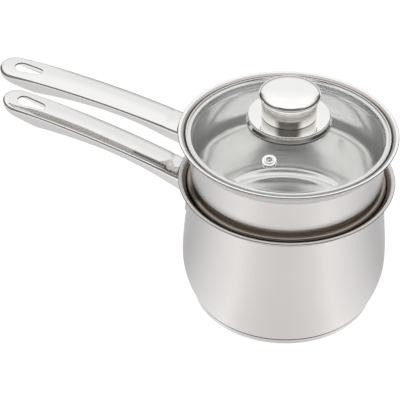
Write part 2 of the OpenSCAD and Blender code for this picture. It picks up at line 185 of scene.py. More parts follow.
# Mesh of a handle: spacing, rows of its edges and of its skirts, turns of the skirt's low edge
HANDLE_STEP = 1.5
TIP_TURNS = 22
EDGE_ROWS = 7
INNER_ROWS = 3
HOLE_ROWS = 5
HOLE_BRIGHT_ROWS = 4
SKIRT_ROWS = (0.06, 0.4, 0.9, 1.0)
LOW_EDGE_TURNS = (30, 60, 90, 120, 150)
PROBE = 0.05
# Triangles in the handle's plan: their height, and their distance from a border, in spacings
TRIANGLE_H = 0.866
TRIANGLE_CLEAR = 0.7

# Lid: glass, soft seal and the band's section
GLASS_T = 4.0
GLASS_EDGE_W = 0.6
GLASS_EDGE_H = 0.5
BAND_T = 0.6
BAND_CORNER_R = 0.35
SEAL_T = 1.2
SEAL_LIP = 0.25
FLANGE_W = 1.6
FLANGE_H = 2.6
FLANGE_RIM_W = 1.4
BAND_DROP = 6.0
BAND_GRIP = 0.5
LEDGE_W = 3.0
BAND_STEP = 1.7
DOME_RISE = 15.4
# The flange's outer side, painted as a highlight, starts this far in, and this far below its top
FLANGE_SIDE_IN = 0.5
FLANGE_SIDE_DOWN = 0.1

# Knob
DISH_R = 32.7
DISH_H = 6.6
DISH_STEP = 0.4
DISH_CORNER_R = 0.6
KNOB_T = 1.0
DRUM_R = 21.2
DRUM_BULGE = 0.45
DRUM_H = 16.6
CAP_H = 5.2
CAP_FLARE = 1.4
CAP_DOME = 1.9
# How far the cap laps down over the drum, the height of its widest ring, and where its
# rounded shoulder meets the nearly flat middle, which falls CAP_FALL from its centre
CAP_LAP = 1.5
CAP_WIDEST_H = 1.4
CAP_MEET_R = 12.0
CAP_FALL = 0.35
CAP_HOLLOW_R = 16.0
# How far the curves of the cap's side and shoulder run straight on at their ends
CAP_LOW_PULL = (0.9, 0.8)
CAP_SIDE_PULL = 0.9
CAP_SHOULDER_PULL = 2.9
CAP_DOME_PULL = 8.0
# Height of the painted shade lines at the drum's two ends and at the foot and the upper edge of the dish
KNOB_SHADE_LINE = 0.5
DISH_FOOT_SHADE = 1.8
DISH_EDGE_SHADE = 0.5
CORE_R = 6.0
SCREW_HOLE_R = 4.0

# Vent: a rivet with a ring on each side of the glass, and the clearance of snug pieces
VENT_FROM_EDGE = 26.5
VENT_TURN = -97.0
VENT_R = 2.25
VENT_WALL = 0.75
VENT_RING_R = 5.5
VENT_RING_T = 0.8
VENT_ROLL = 0.8
VENT_ROLL_CORNER_R = 0.38
VENT_RING_CORNER_R = 0.25
DRILL_REACH = 15.0
DRILL_SEGMENTS = 48
SNUG = 0.05


def bezier(a, b, c, d, steps):
    """Points of a cubic curve, both ends included."""
    points = []
    for i in range(steps + 1):
        t = i / steps
        u = 1 - t
        weights = (u * u * u, 3 * u * u * t, 3 * u * t * t, t * t * t)
        points.append(tuple(sum(w * p[k] for w, p in zip(weights, (a, b, c, d))) for k in (0, 1)))
    return points


def arc(centre, r, start, end, steps):
    """Points of an arc, angles in degrees, both ends included."""
    points = []
    for i in range(steps + 1):
        a = math.radians(start + (end - start) * i / steps)
        points.append((centre[0] + r * math.cos(a), centre[1] + r * math.sin(a)))
    return points


def cut_at(points, z):
    """The same line with a point added wherever it crosses height z."""
    out = [points[0]]
    for p, q in zip(points, points[1:]):
        if (p[1] - z) * (q[1] - z) < 0:
            t = (z - p[1]) / (q[1] - p[1])
            out.append((p[0] + (q[0] - p[0]) * t, z))
        out.append(q)
    return out


def rounded(points, r, steps=6, closed=True):
    """A line with its corners rounded to radius r, or to what its sides have room for."""
    out = []
    count = len(points)
    for i, corner in enumerate(points):
        if not closed and i in (0, count - 1):
            out.append(corner)
            continue
        here = Vector(corner)
        before = Vector(points[i - 1]) - here
        after = Vector(points[(i + 1) % count]) - here
        turn = math.pi - before.angle(after)
        if turn < 0.05:
            out.append(corner)
            continue
        back = min(r * math.tan(turn / 2), 0.45 * before.length, 0.45 * after.length)
        size = back / math.tan(turn / 2)
        start = here + before.normalized() * back
        end = here + after.normalized() * back
        centre = here + (before.normalized() + after.normalized()).normalized() * math.hypot(size, back)
        for k in range(steps + 1):
            t = k / steps
            way = (start - centre).lerp(end - centre, t)
            out.append(tuple(centre + way.normalized() * size))
    return out


def link(mesh_name, materials, body, nodes, mesh):
    """Makes an object of a bmesh, with its materials, body and replaced nodes."""
    data = bpy.data.meshes.new(mesh_name)
    bmesh.ops.recalc_face_normals(mesh, faces=mesh.faces)
    for face in mesh.faces:
        face.smooth = True
    for edge in mesh.edges:
        if len(edge.link_faces) == 2 and edge.calc_face_angle(0) > SHARP_ANGLE:
            edge.smooth = False
    mesh.to_mesh(data)
    mesh.free()
    piece = bpy.data.objects.new(mesh_name, data)
    bpy.context.scene.collection.objects.link(piece)
    for material in materials:
        data.materials.append(material)
    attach(piece, body)
    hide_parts(*nodes)
    return piece


def turned(profile, finishes=(), finish_of=None, matrix=None, closed=False, segments=SEGMENTS):
    """A bmesh turned round the axis from a line of (radius, height) points in millimetres.

    finish_of picks one of the finishes, painted light and shade among them, for a stretch from its
    middle and its two ends.
    """
    mesh = bmesh.new()
    rings = []
    for r, z in profile:
        if r < 1e-6:
            rings.append([mesh.verts.new((0, 0, z * MM))])
            continue
        ring = []
        for i in range(segments):
            a = 2 * math.pi * i / segments
            ring.append(mesh.verts.new((r * MM * math.cos(a), r * MM * math.sin(a), z * MM)))
        rings.append(ring)
    pairs = list(zip(range(len(rings)), range(1, len(rings))))
    if closed:
        pairs.append((len(rings) - 1, 0))
    for low, high in pairs:
        a, b = rings[low], rings[high]
        if len(a) == len(b) == 1:
            continue
        middle = [(p + q) / 2 for p, q in zip(profile[low], profile[high])]
        finish = 0
        if finish_of:
            finish = finishes.index(finish_of(*middle, profile[low], profile[high]))
        for i in range(segments):
            j = (i + 1) % segments
            corners = [a[i % len(a)], a[j % len(a)], b[j % len(b)], b[i % len(b)]]
            face = mesh.faces.new(dict.fromkeys(corners))
            face.material_index = finish
    if matrix:
        mesh.transform(matrix)
    return mesh


# Places on the lid, from the insert's flare inward and up to the glass dome
SEAT_R = INSERT_FLARE_C[0] - INSERT_FLARE_R * math.cos(math.radians(SEAT_LEAN))
SEAT_Z = INSERT_FLARE_C[1] + INSERT_FLARE_R * math.sin(math.radians(SEAT_LEAN))
FLANGE_R = SEAT_R - FIT_GAP * math.cos(math.radians(SEAT_LEAN))
FLANGE_Z = SEAT_Z + FIT_GAP * math.sin(math.radians(SEAT_LEAN))
FLANGE_TOP = FLANGE_Z + FLANGE_H
FLANGE_IN_R = FLANGE_R - FLANGE_RIM_W
CHANNEL_R = FLANGE_R - FLANGE_W
CHANNEL_IN_R = CHANNEL_R - BAND_T
BAND_LOW_Z = SEAT_Z - BAND_DROP
NEST_R = SEAT_R - FIT_GAP / math.cos(math.radians(SEAT_LEAN))
TAPER_Z = SEAT_Z - (NEST_R - CHANNEL_R) / math.tan(math.radians(SEAT_LEAN))
BAND_LOW_R = NEST_R - BAND_DROP * math.tan(math.radians(SEAT_LEAN))
LIP_TOP = FLANGE_TOP - BAND_STEP
LIP_UNDER = LIP_TOP - BAND_T
GLASS_R = CHANNEL_IN_R - SEAL_T
GRIP_R = GLASS_R - BAND_GRIP
LEDGE_R = GLASS_R - LEDGE_W
VENT_AT = GLASS_R - VENT_FROM_EDGE
DOME_R = (GLASS_R ** 2 + DOME_RISE ** 2) / (2 * DOME_RISE)
DOME_Z = LIP_UNDER - SEAL_LIP - math.sqrt(DOME_R ** 2 - GRIP_R ** 2)
UNDER_DOME_R = DOME_R - GLASS_T


def dome_at(r):
    """Height of the glass's upper face."""
    return DOME_Z + math.sqrt(DOME_R ** 2 - r ** 2)


DISH_Z = dome_at(DISH_R - KNOB_T) + SNUG
DISH_TOP = DISH_Z + DISH_H
DISH_UNDER = DISH_TOP - KNOB_T
CAP_Z = DISH_TOP + DRUM_H
CAP_SHOULDER_Z = CAP_Z + CAP_H
CAP_TOP_R = DRUM_R + KNOB_T + CAP_FLARE


# Materials, and the range that holds most of a noise's values
NOISE_LOW, NOISE_HIGH = 0.3, 0.7


def shader(name, **sockets):
    """A material with one Principled shader, and that shader."""
    material = bpy.data.materials.new(name)
    material.use_nodes = True
    principled = material.node_tree.nodes["Principled BSDF"]
    for socket, value in sockets.items():
        principled.inputs[socket.replace("_", " ")].default_value = value
    return material, principled


def node_of(tree, kind, operation, values):
    """A node of one operation over some values, each a socket or a constant."""
    node = tree.nodes.new(kind)
    node.operation = operation
    for value, socket in zip(values, node.inputs):
        if isinstance(value, bpy.types.NodeSocket):
            tree.links.new(value, socket)
        else:
            socket.default_value = value
    return node


def maths(tree, operation, *values):
    return node_of(tree, "ShaderNodeMath", operation, values).outputs[0]


def vectors(tree, operation, *values):
    node = node_of(tree, "ShaderNodeVectorMath", operation, values)
    return node.outputs["Value" if operation in ("LENGTH", "DOT_PRODUCT") else "Vector"]


def spread(tree, value, start, end, low=0.0, high=1.0):
    """A value turned into low at start or under, high at end or over, and even between them."""
    node = tree.nodes.new("ShaderNodeMapRange")
    tree.links.new(value, node.inputs["Value"])
    for name, number in (("From Min", start), ("From Max", end), ("To Min", low), ("To Max", high)):
        node.inputs[name].default_value = number
    return node.outputs["Result"]


def noise_over(tree, place, scale, detail):
    noise = tree.nodes.new("ShaderNodeTexNoise")
    noise.inputs["Scale"].default_value = scale
    noise.inputs["Detail"].default_value = detail
    tree.links.new(place, noise.inputs["Vector"])
    return noise.outputs["Fac"]


def stretched_noise(tree, along, across):
    """Noise drawn out round the axis: slow along x and y, quick along height and radius."""
    place = tree.nodes.new("ShaderNodeTexCoord").outputs["Object"]
    split = tree.nodes.new("ShaderNodeSeparateXYZ")
    joined = tree.nodes.new("ShaderNodeCombineXYZ")
    radius = vectors(tree, "LENGTH", vectors(tree, "MULTIPLY", place, (1, 1, 0)))
    tree.links.new(place, split.inputs[0])
    tree.links.new(split.outputs[0], joined.inputs[0])
    tree.links.new(split.outputs[1], joined.inputs[1])
    tree.links.new(maths(tree, "ADD", radius, split.outputs[2]), joined.inputs[2])
    scaled = vectors(tree, "MULTIPLY", joined.outputs[0], (along, along, across))
    return noise_over(tree, scaled, 1.0, 3.0)


def cloudy_noise(tree, scale, detail=2.0):
    """Soft noise over the object's own coordinates."""
    place = tree.nodes.new("ShaderNodeTexCoord").outputs["Object"]
    return noise_over(tree, place, scale, detail)


def vary(tree, value, low, high, socket):
    """Maps a noise value from its middle range to low..high and feeds a socket."""
    tree.links.new(spread(tree, value, NOISE_LOW, NOISE_HIGH, low, high), socket)


def dent(tree, value, strength, depth, principled):
    """Bump of a given depth in metres."""
    bump = tree.nodes.new("ShaderNodeBump")
    bump.inputs["Strength"].default_value = strength
    bump.inputs["Distance"].default_value = depth
    tree.links.new(value, bump.inputs["Height"])
    tree.links.new(bump.outputs["Normal"], principled.inputs["Normal"])


def brushed_steel(name, colour, low, high, anisotropy, depth=1.2e-6, lines=6000.0):
    """Steel with fine lines round the axis."""
    material, principled = shader(
        name, Base_Color=(*colour, 1), Metallic=1.0, Anisotropic=anisotropy
    )
    tree = material.node_tree
    lines_value = stretched_noise(tree, 18.0, lines)
    vary(tree, lines_value, low, high, principled.inputs["Roughness"])
    dent(tree, lines_value, 0.35, depth, principled)
    tangent = tree.nodes.new("ShaderNodeTangent")
    tangent.direction_type = "RADIAL"
    tangent.axis = "Z"
    tree.links.new(tangent.outputs[0], principled.inputs["Tangent"])
    return material


def polished_steel(name, colour, low, high, metallic=1.0):
    """Bright steel with faint wiping marks; a lower metallic adds a pale diffuse share that the room's
    light brightens.
    """
    material, principled = shader(name, Base_Color=(*colour, 1), Metallic=metallic)
    tree = material.node_tree
    vary(tree, cloudy_noise(tree, 60.0, 4.0), low, high, principled.inputs["Roughness"])
    return material


def soft_material(name, colour):
    """Pale soft plastic with a fine grain."""
    material, principled = shader(
        name, Base_Color=(*colour, 1), Roughness=0.55, Subsurface_Weight=0.2, Subsurface_Scale=0.002
    )
    tree = material.node_tree
    dent(tree, cloudy_noise(tree, 900.0), 0.2, 2e-5, principled)
    return material


PAN_SATIN = brushed_steel("pan_satin", (0.79, 0.768, 0.762), 0.25, 0.27, 0.6, 5e-7)
PAN_BRIGHT = polished_steel("pan_bright", (0.86, 0.85, 0.845), 0.04, 0.07)
# Painted highlight: a pale diffuse ring on the lips' tops and the lid flange's side, in place of their
# bright glint
RIM_HIGHLIGHT = polished_steel("painted_rim_highlight", (0.95, 0.945, 0.94), 0.30, 0.36, metallic=0.0)
FLARE_SATIN = polished_steel("flare_satin", (0.78, 0.77, 0.765), 0.33, 0.38, metallic=0.3)
FLOOR_SATIN = polished_steel("floor_satin", (0.985, 0.98, 0.965), 0.12, 0.16, metallic=0.75)
# Painted shade: the darker ring just inside the insert's lip, under its painted highlight
LIP_SHADE = polished_steel("painted_lip_shade", (0.60, 0.565, 0.53), 0.24, 0.29, metallic=0.8)
# Painted shade: dark lines at the rims' cut edges, under the flares, at the knob's ends and in the
# handles' holes, and the ring in the lid's gap
PAINTED_SHADE = polished_steel("painted_shade", (0.20, 0.19, 0.18), 0.25, 0.35)
# Painted shade: the near-black band where the pot's foot meets the base cap
SEAM_SHADE = polished_steel("painted_seam_shade", (0.05, 0.05, 0.055), 0.3, 0.4)
INSERT_INSIDE = brushed_steel("insert_inside", (0.97, 0.97, 0.96), 0.08, 0.11, 0.5, 3e-7, 900.0)
# Painted shade: the pot's inner face and the insert's lower outer wall, dark with the shade in the gap
# between the pans
GAP_SHADE = brushed_steel("painted_gap_shade", (0.34, 0.302, 0.268), 0.10, 0.15, 0.5)
HANDLE_BRIGHT = polished_steel("handle_bright", (0.90, 0.895, 0.885), 0.08, 0.11, metallic=0.95)
# Painted shade: a darker copy of the handle steel for the handles' undersides and brackets
HANDLE_UNDER_SHADE = polished_steel("painted_handle_under_shade", (0.55, 0.52, 0.485), 0.08, 0.12)
# Painted shade: a darker copy of the handle steel for the handles' skirts
HANDLE_SIDE_SHADE = polished_steel("handle_side", (0.66, 0.65, 0.64), 0.08, 0.12)
KNOB_BRIGHT = polished_steel("knob_bright", (0.99, 0.985, 0.97), 0.05, 0.08)
KNOB_DRUM = polished_steel("knob_drum", (0.98, 0.95, 0.915), 0.12, 0.16, metallic=0.93)
BASE_TURNED = brushed_steel("base_turned", (0.76, 0.76, 0.76), 0.22, 0.30, 0.7, 3e-6, 2200.0)
CORE = brushed_steel("core_aluminium", (0.66, 0.67, 0.68), 0.35, 0.45, 0.3)
SCREW = polished_steel("screw_steel", (0.70, 0.70, 0.70), 0.2, 0.3)
GLASS, _ = shader(
    "lid_glass", Base_Color=(0.985, 0.993, 0.99, 1), Roughness=0.0, IOR=1.5, Transmission_Weight=1.0
)
SEAL = soft_material("soft_seal", (0.85, 0.86, 0.84))


# Pans
def pot_wall(inset, low_z):
    """The pot's wall from foot to flare: two curves that meet upright at the belly."""
    rise = BELLY_Z - low_z
    above = POT_FLARE_C[1] - BELLY_Z
    foot, belly, neck = FOOT_R - inset, BELLY_R - inset, NECK_R - inset
    lower = bezier(
        (foot, low_z), (foot + BASE_INSET / 3, low_z + rise * FOOT_PULL),
        (belly, BELLY_Z - rise * BELLY_PULL_DOWN), (belly, BELLY_Z), 20
    )
    upper = bezier(
        (belly, BELLY_Z), (belly, BELLY_Z + above * BELLY_PULL_UP),
        (neck, POT_FLARE_C[1] - above * NECK_PULL), (neck, POT_FLARE_C[1]), 24
    )
    return lower + upper[1:]


def rim_edge(rim_z):
    """The round edge of a rim's sheet, from its underside to its top."""
    half = SHEET / 2
    return arc((RIM_R - half, rim_z - half), half, -90, 90, 8)


POT_OUTER = pot_wall(0, FOOT_Z) + arc(POT_FLARE_C, POT_FLARE_R - SHEET, 180, 90, 16)[1:-1]
POT_INNER = pot_wall(SHEET, FOOT_Z + SHEET) + arc(POT_FLARE_C, POT_FLARE_R, 180, 90, 16)[1:-1]


def past_bead(lower, wall):
    """The outer face from the corner round the rolled bead to the wall above it."""
    low, high = BEAD_Z - BEAD_R, BEAD_Z + BEAD_R
    corner_z = INSERT_FLOOR_Z + INSERT_CORNER_R
    line = rounded([(lower, corner_z), (lower, low), (BEAD_X, low)], BODY_STEP_R, closed=False)[1:-1]
    line += arc((BEAD_X, BEAD_Z), BEAD_R, -90, 90, 16)
    above = [(BEAD_X, high), (wall, high), (wall, RAMP_HIGH_Z)]
    return line + rounded(above, BEAD_TOP_R, closed=False)[1:-1]


def past_ramp(lower, wall):
    """The inner face from the corner up a long ramp to the wall above the bead."""
    bend = [(lower, RAMP_LOW_Z + RAMP_PULL), (wall, RAMP_HIGH_Z - RAMP_PULL)]
    return bezier((lower, RAMP_LOW_Z), *bend, (wall, RAMP_HIGH_Z), 20)


def insert_side(inset, flare_r, middle):
    """One face of the insert's wall, from the floor's edge to the lip."""
    wall = INSERT_R - inset
    lean = math.radians(SEAT_LEAN)
    seat_r = INSERT_FLARE_C[0] - flare_r * math.cos(lean)
    seat_z = INSERT_FLARE_C[1] + flare_r * math.sin(lean)
    bend_z = seat_z - (seat_r - wall) / math.tan(lean)
    corner_c = (BODY_R - INSERT_CORNER_R, INSERT_FLOOR_Z + INSERT_CORNER_R)
    line = arc(corner_c, INSERT_CORNER_R - inset, -90, 0, 12) + middle(BODY_R - inset, wall)
    neck = [(wall, BEAD_Z), (wall, bend_z), (seat_r, seat_z)]
    line += rounded(neck, FLARE_BEND_R, closed=False)[1:-1]
    line += arc(INSERT_FLARE_C, flare_r, 180 - SEAT_LEAN, 90, 12)[:-1]
    return line


INSERT_OUTER = insert_side(0, INSERT_FLARE_R - SHEET, past_bead)
INSERT_INNER = insert_side(SHEET, INSERT_FLARE_R, past_ramp)


def floor_rings(r, z, count=10):
    """Points across a flat floor, from the axis out."""
    return [(r * i / count, z) for i in range(count)]


def pan(name, outer, inner, rim_z, breaks, finishes, finish_of, body, node):
    """A pan of sheet steel between two faces; breaks are heights where its finish and its painted light
    and shade change.
    """
    for z in breaks:
        outer = cut_at(outer, z)
        inner = cut_at(inner, z)
    profile = floor_rings(*outer[0]) + outer + rim_edge(rim_z)
    profile += list(reversed(inner)) + list(reversed(floor_rings(*inner[0])))
    return link(name, finishes, body, [node], turned(profile, finishes, finish_of))


def outside(p, q):
    """Whether a stretch of the profile runs upward, as the outer face does."""
    return q[1] > p[1] or (q[1] == p[1] and q[0] > p[0])


def pot_finish_and_painted_light(r, z, p, q):
    """Finish of the lower pot at a place on its profile: its steel finishes, painted highlight and
    painted shade.
    """
    # Painted shade line along the rim's cut edge
    if r > RIM_R - EDGE_W:
        return PAINTED_SHADE
    if outside(p, q):
        # Painted shade line under the flare
        if abs(z - POT_BAND_Z) < BAND_LINE:
            return PAINTED_SHADE
        # Painted shade band at the seam over the base cap
        if z < FOOT_Z + SEAM:
            return SEAM_SHADE
        return FLARE_SATIN if z > POT_BAND_Z else PAN_SATIN
    # Painted highlight ring at the lip's top, painted gap shade below it
    return RIM_HIGHLIGHT if z > POT_H - POT_LIP_BRIGHT else GAP_SHADE


def insert_finish_and_painted_light(r, z, p, q):
    """Finish of the insert at a place on its profile: its steel finishes, painted highlight and painted
    shade.
    """
    # Painted shade line along the rim's cut edge
    if r > RIM_R - EDGE_W:
        return PAINTED_SHADE
    if outside(p, q):
        # Painted shade line under the flare
        if abs(z - INSERT_BAND_Z) < BAND_LINE:
            return PAINTED_SHADE
        if z > INSERT_BAND_Z - FLARE_BELOW_BAND:
            return FLARE_SATIN
        # Below the satin wall, painted gap shade
        return PAN_SATIN if z > INSERT_SATIN_Z else GAP_SHADE
    # Painted highlight ring at the lip's top
    if z > INSERT_H - INSERT_LIP_BRIGHT:
        return RIM_HIGHLIGHT
    # Painted shade ring under the lip's highlight
    if z > INSERT_H - INSERT_LIP_SHADE:
        return LIP_SHADE
    if z < INSERT_FLOOR_Z + INSERT_CORNER_R:
        return FLOOR_SATIN
    # Painted shade ring above the seat, for the shadow in the gap under the lid
    return PAINTED_SHADE if z > SEAT_Z else INSERT_INSIDE


pan(
    "pot_body", POT_OUTER, POT_INNER, POT_H,
    [FOOT_Z + SEAM, POT_BAND_Z - BAND_LINE, POT_BAND_Z + BAND_LINE, POT_H - POT_LIP_BRIGHT],
    [PAN_SATIN, GAP_SHADE, PAINTED_SHADE, RIM_HIGHLIGHT, SEAM_SHADE, FLARE_SATIN],
    pot_finish_and_painted_light, "lower_pot", "lower_pot_shell"
)
pan(
    "insert_body", INSERT_OUTER, INSERT_INNER, INSERT_H,
    [INSERT_SATIN_Z, INSERT_BAND_Z - BAND_LINE, INSERT_BAND_Z + BAND_LINE, SEAT_Z,
     INSERT_H - INSERT_LIP_BRIGHT, INSERT_H - INSERT_LIP_SHADE],
    [PAN_SATIN, FLARE_SATIN, INSERT_INSIDE, PAINTED_SHADE, GAP_SHADE, LIP_SHADE, FLOOR_SATIN, RIM_HIGHLIGHT],
    insert_finish_and_painted_light, "insert", "insert_shell"
)


# Base
def base_cap():
    """The steel cap round the base's disc, with rounded lower edge."""
    inner_r = CAP_R - BASE_CAP_T
    profile = floor_rings(CAP_R, 0, 12)
    profile += arc((CAP_R - BASE_LOW_R, BASE_LOW_R), BASE_LOW_R, -90, 0, 8)
    profile += [(CAP_R, FOOT_Z - BASE_TOP_R - BASE_TOP_FLAT)]
    profile += arc((CAP_R - BASE_TOP_R, FOOT_Z - BASE_TOP_R), BASE_TOP_R, 0, 90, 4)
    profile += [(inner_r, FOOT_Z), (inner_r, BASE_CAP_T), (0, BASE_CAP_T)]
    link("base_disc", [BASE_TURNED], "lower_pot", ["base_cap"], turned(profile))


base_cap()


# Handles; s is the distance out from the pans' axis
def handle_line(s, rise):
    """Height of a handle's upper edge over its root."""
    t = (s - RIM_R) / HANDLE_REACH
    return rise * t - ARCH * t * t


def skirt_depth(s):
    """How far a handle's sides hang below its upper edge."""
    t = min(1.0, max(0.0, (s - RIM_R) / HANDLE_REACH))
    if t < WAIST_AT:
        return SKIRT_WAIST + (SKIRT_ROOT - SKIRT_WAIST) * (1 - t / WAIST_AT) ** ROOT_SWEEP
    if t < BELLY_AT:
        along = (t - WAIST_AT) / (BELLY_AT - WAIST_AT)
        return SKIRT_WAIST + (SKIRT_BELLY - SKIRT_WAIST) * along ** BELLY_SWEEP
    return SKIRT_BELLY + (SKIRT_TIP - SKIRT_BELLY) * ((t - BELLY_AT) / (1 - BELLY_AT)) ** TIP_SWEEP


def edge_radius(s):
    """Radius of the rounded upper edge: widest at the tip, tightest along the middle."""
    t = min(1.0, max(0.0, (s - RIM_R) / HANDLE_REACH))
    if t < EDGE_MIDDLE_FROM:
        return EDGE_R_ROOT + (EDGE_R_MIDDLE - EDGE_R_ROOT) * t / EDGE_MIDDLE_FROM
    if t < EDGE_MIDDLE_TO:
        return EDGE_R_MIDDLE
    return EDGE_R_MIDDLE + (EDGE_R_TIP - EDGE_R_MIDDLE) * (t - EDGE_MIDDLE_TO) / (1 - EDGE_MIDDLE_TO)


END_X = TIP_R - END_W


def half_width(s):
    return ROOT_W + (END_W - ROOT_W) * s / END_X


def crown_height(s, y):
    """How far the domed top stands over the line of its edges."""
    fade = max(0.0, 1 - (TIP_R - s) / CROWN_FADE)
    w = half_width(s)
    return CROWN * (1 - fade ** CROWN_POWER) * max(0.0, 1 - (y / w) ** 2)


def wall_radius(outer, z):
    """Radius of a pan's outer face at a height."""
    for p, q in zip(outer, outer[1:]):
        if p[1] <= z <= q[1] and q[1] > p[1]:
            return p[0] + (q[0] - p[0]) * (z - p[1]) / (q[1] - p[1])
    return outer[-1][0]


def outline(root, step):
    """Plan of where a handle's top meets its rounded edge, from the pan round the tip and back.

    Each point is (s, y, outward normal, edge radius).
    """
    lean = (ROOT_W - END_W) / END_X
    side = Vector((lean, 1)).normalized()
    half = []
    count = int((END_X - root) / step)
    for i in range(count + 1):
        s = root + (END_X - root) * i / count
        r = edge_radius(s)
        half.append((s, half_width(s) - r, side, r))
    for i in range(1, TIP_TURNS):
        a = math.radians(90 - 90 * i / TIP_TURNS)
        n = Vector((math.cos(a), math.sin(a)))
        r = edge_radius(END_X + END_W * n.x)
        half.append((END_X + (END_W - r) * n.x, (END_W - r) * n.y, n, r))
    tip = [(TIP_R - EDGE_R_TIP, 0.0, Vector((1, 0)), EDGE_R_TIP)]
    mirrored = [(s, -y, Vector((n.x, -n.y)), r) for s, y, n, r in reversed(half)]
    return half + tip + mirrored


def teardrop(grow, step=0.8):
    """Outline of the hanging hole, grown outward, as (s, y, normal into the hole)."""
    wide_s = TIP_R - HOLE_FROM_TIP
    narrow_s = wide_s - HOLE_SPAN
    lean = math.degrees(math.asin((HOLE_WIDE_R - HOLE_NARROW_R) / HOLE_SPAN))
    points = []

    def round_end(centre, r, start, end):
        count = max(6, int(math.radians(end - start) * r / step))
        for i in range(count + 1):
            a = math.radians(start + (end - start) * i / count)
            n = Vector((math.cos(a), math.sin(a)))
            points.append((centre + (r + grow) * n.x, (r + grow) * n.y, -n))

    def side(start, end):
        count = int(HOLE_SPAN / step)
        for i in range(1, count):
            t = i / count
            points.append((
                start[0] + (end[0] - start[0]) * t, start[1] + (end[1] - start[1]) * t, start[2]
            ))

    round_end(wide_s, HOLE_WIDE_R, -90 - lean, 90 + lean)
    wide_end = points[-1]
    wide_start = points[0]
    first_narrow = len(points)
    round_end(narrow_s, HOLE_NARROW_R, 90 + lean, 270 - lean)
    narrow = points[first_narrow:]
    del points[first_narrow:]
    side(wide_end, narrow[0])
    points.extend(narrow)
    side(narrow[-1], wide_start)
    return points


def inside(p, loop):
    """Whether a plan point lies in a closed loop of points."""
    hit = False
    for a, b in zip(loop, loop[1:] + loop[:1]):
        if (a[1] > p[1]) != (b[1] > p[1]):
            if p[0] < a[0] + (b[0] - a[0]) * (p[1] - a[1]) / (b[1] - a[1]):
                hit = not hit
    return hit


def near(p, loop, gap):
    """Whether a plan point lies closer to a loop's points than a gap."""
    return any((p[0] - q[0]) ** 2 + (p[1] - q[1]) ** 2 < gap * gap for q in loop)


def plan_mesh(edge, root, hole, step):
    """Triangles of a handle's top in plan: the edge, the pan's side and the hole are its borders."""
    border = [(s, y) for s, y, n, r in edge]
    count = int(2 * border[0][1] / step)
    last_y = border[-1][1]
    for i in range(1, count):
        y = last_y + (border[0][1] - last_y) * i / count
        border.append((math.sqrt(root * root - y * y), y))
    ring = [(s, y) for s, y, n in hole]
    points = border + ring
    loops = [[(i, (i + 1) % len(border)) for i in range(len(border))]]
    start = len(border)
    loops.append([(start + i, start + (i + 1) % len(ring)) for i in range(len(ring))])
    rows = int(2 * ROOT_W / (step * TRIANGLE_H))
    gap = TRIANGLE_CLEAR * step
    for row in range(rows + 1):
        y = -ROOT_W + 2 * ROOT_W * row / rows
        s = root - 2 * step + (step / 2 if row % 2 else 0)
        while s < TIP_R:
            p = (s, y)
            clear = inside(p, border) and not inside(p, ring)
            if clear and not near(p, border, gap) and not near(p, ring, gap):
                points.append(p)
            s += step
    result = delaunay_2d_cdt([Vector(p) for p in points], loops[0] + loops[1], [], 0, 1e-5)
    verts, _, faces = result[:3]
    kept = []
    for face in faces:
        middle = (sum(verts[i].x for i in face) / 3, sum(verts[i].y for i in face) / 3)
        if inside(middle, border) and not inside(middle, ring):
            kept.append(face)
    return [tuple(v) for v in verts], kept, len(border)


def curve_down(slope, run, drop, steps):
    """Points (outward, up) from a surface of a given slope round to straight down."""
    corner = (run, -run * slope)
    end = (run, corner[1] - drop)
    points = []
    for i in range(1, steps + 1):
        t = i / steps
        u = 1 - t
        points.append((2 * u * t * corner[0] + t * t * end[0], 2 * u * t * corner[1] + t * t * end[1]))
    return points


HANDLE_MATERIALS = [HANDLE_BRIGHT, HANDLE_UNDER_SHADE, HANDLE_SIDE_SHADE, PAINTED_SHADE]


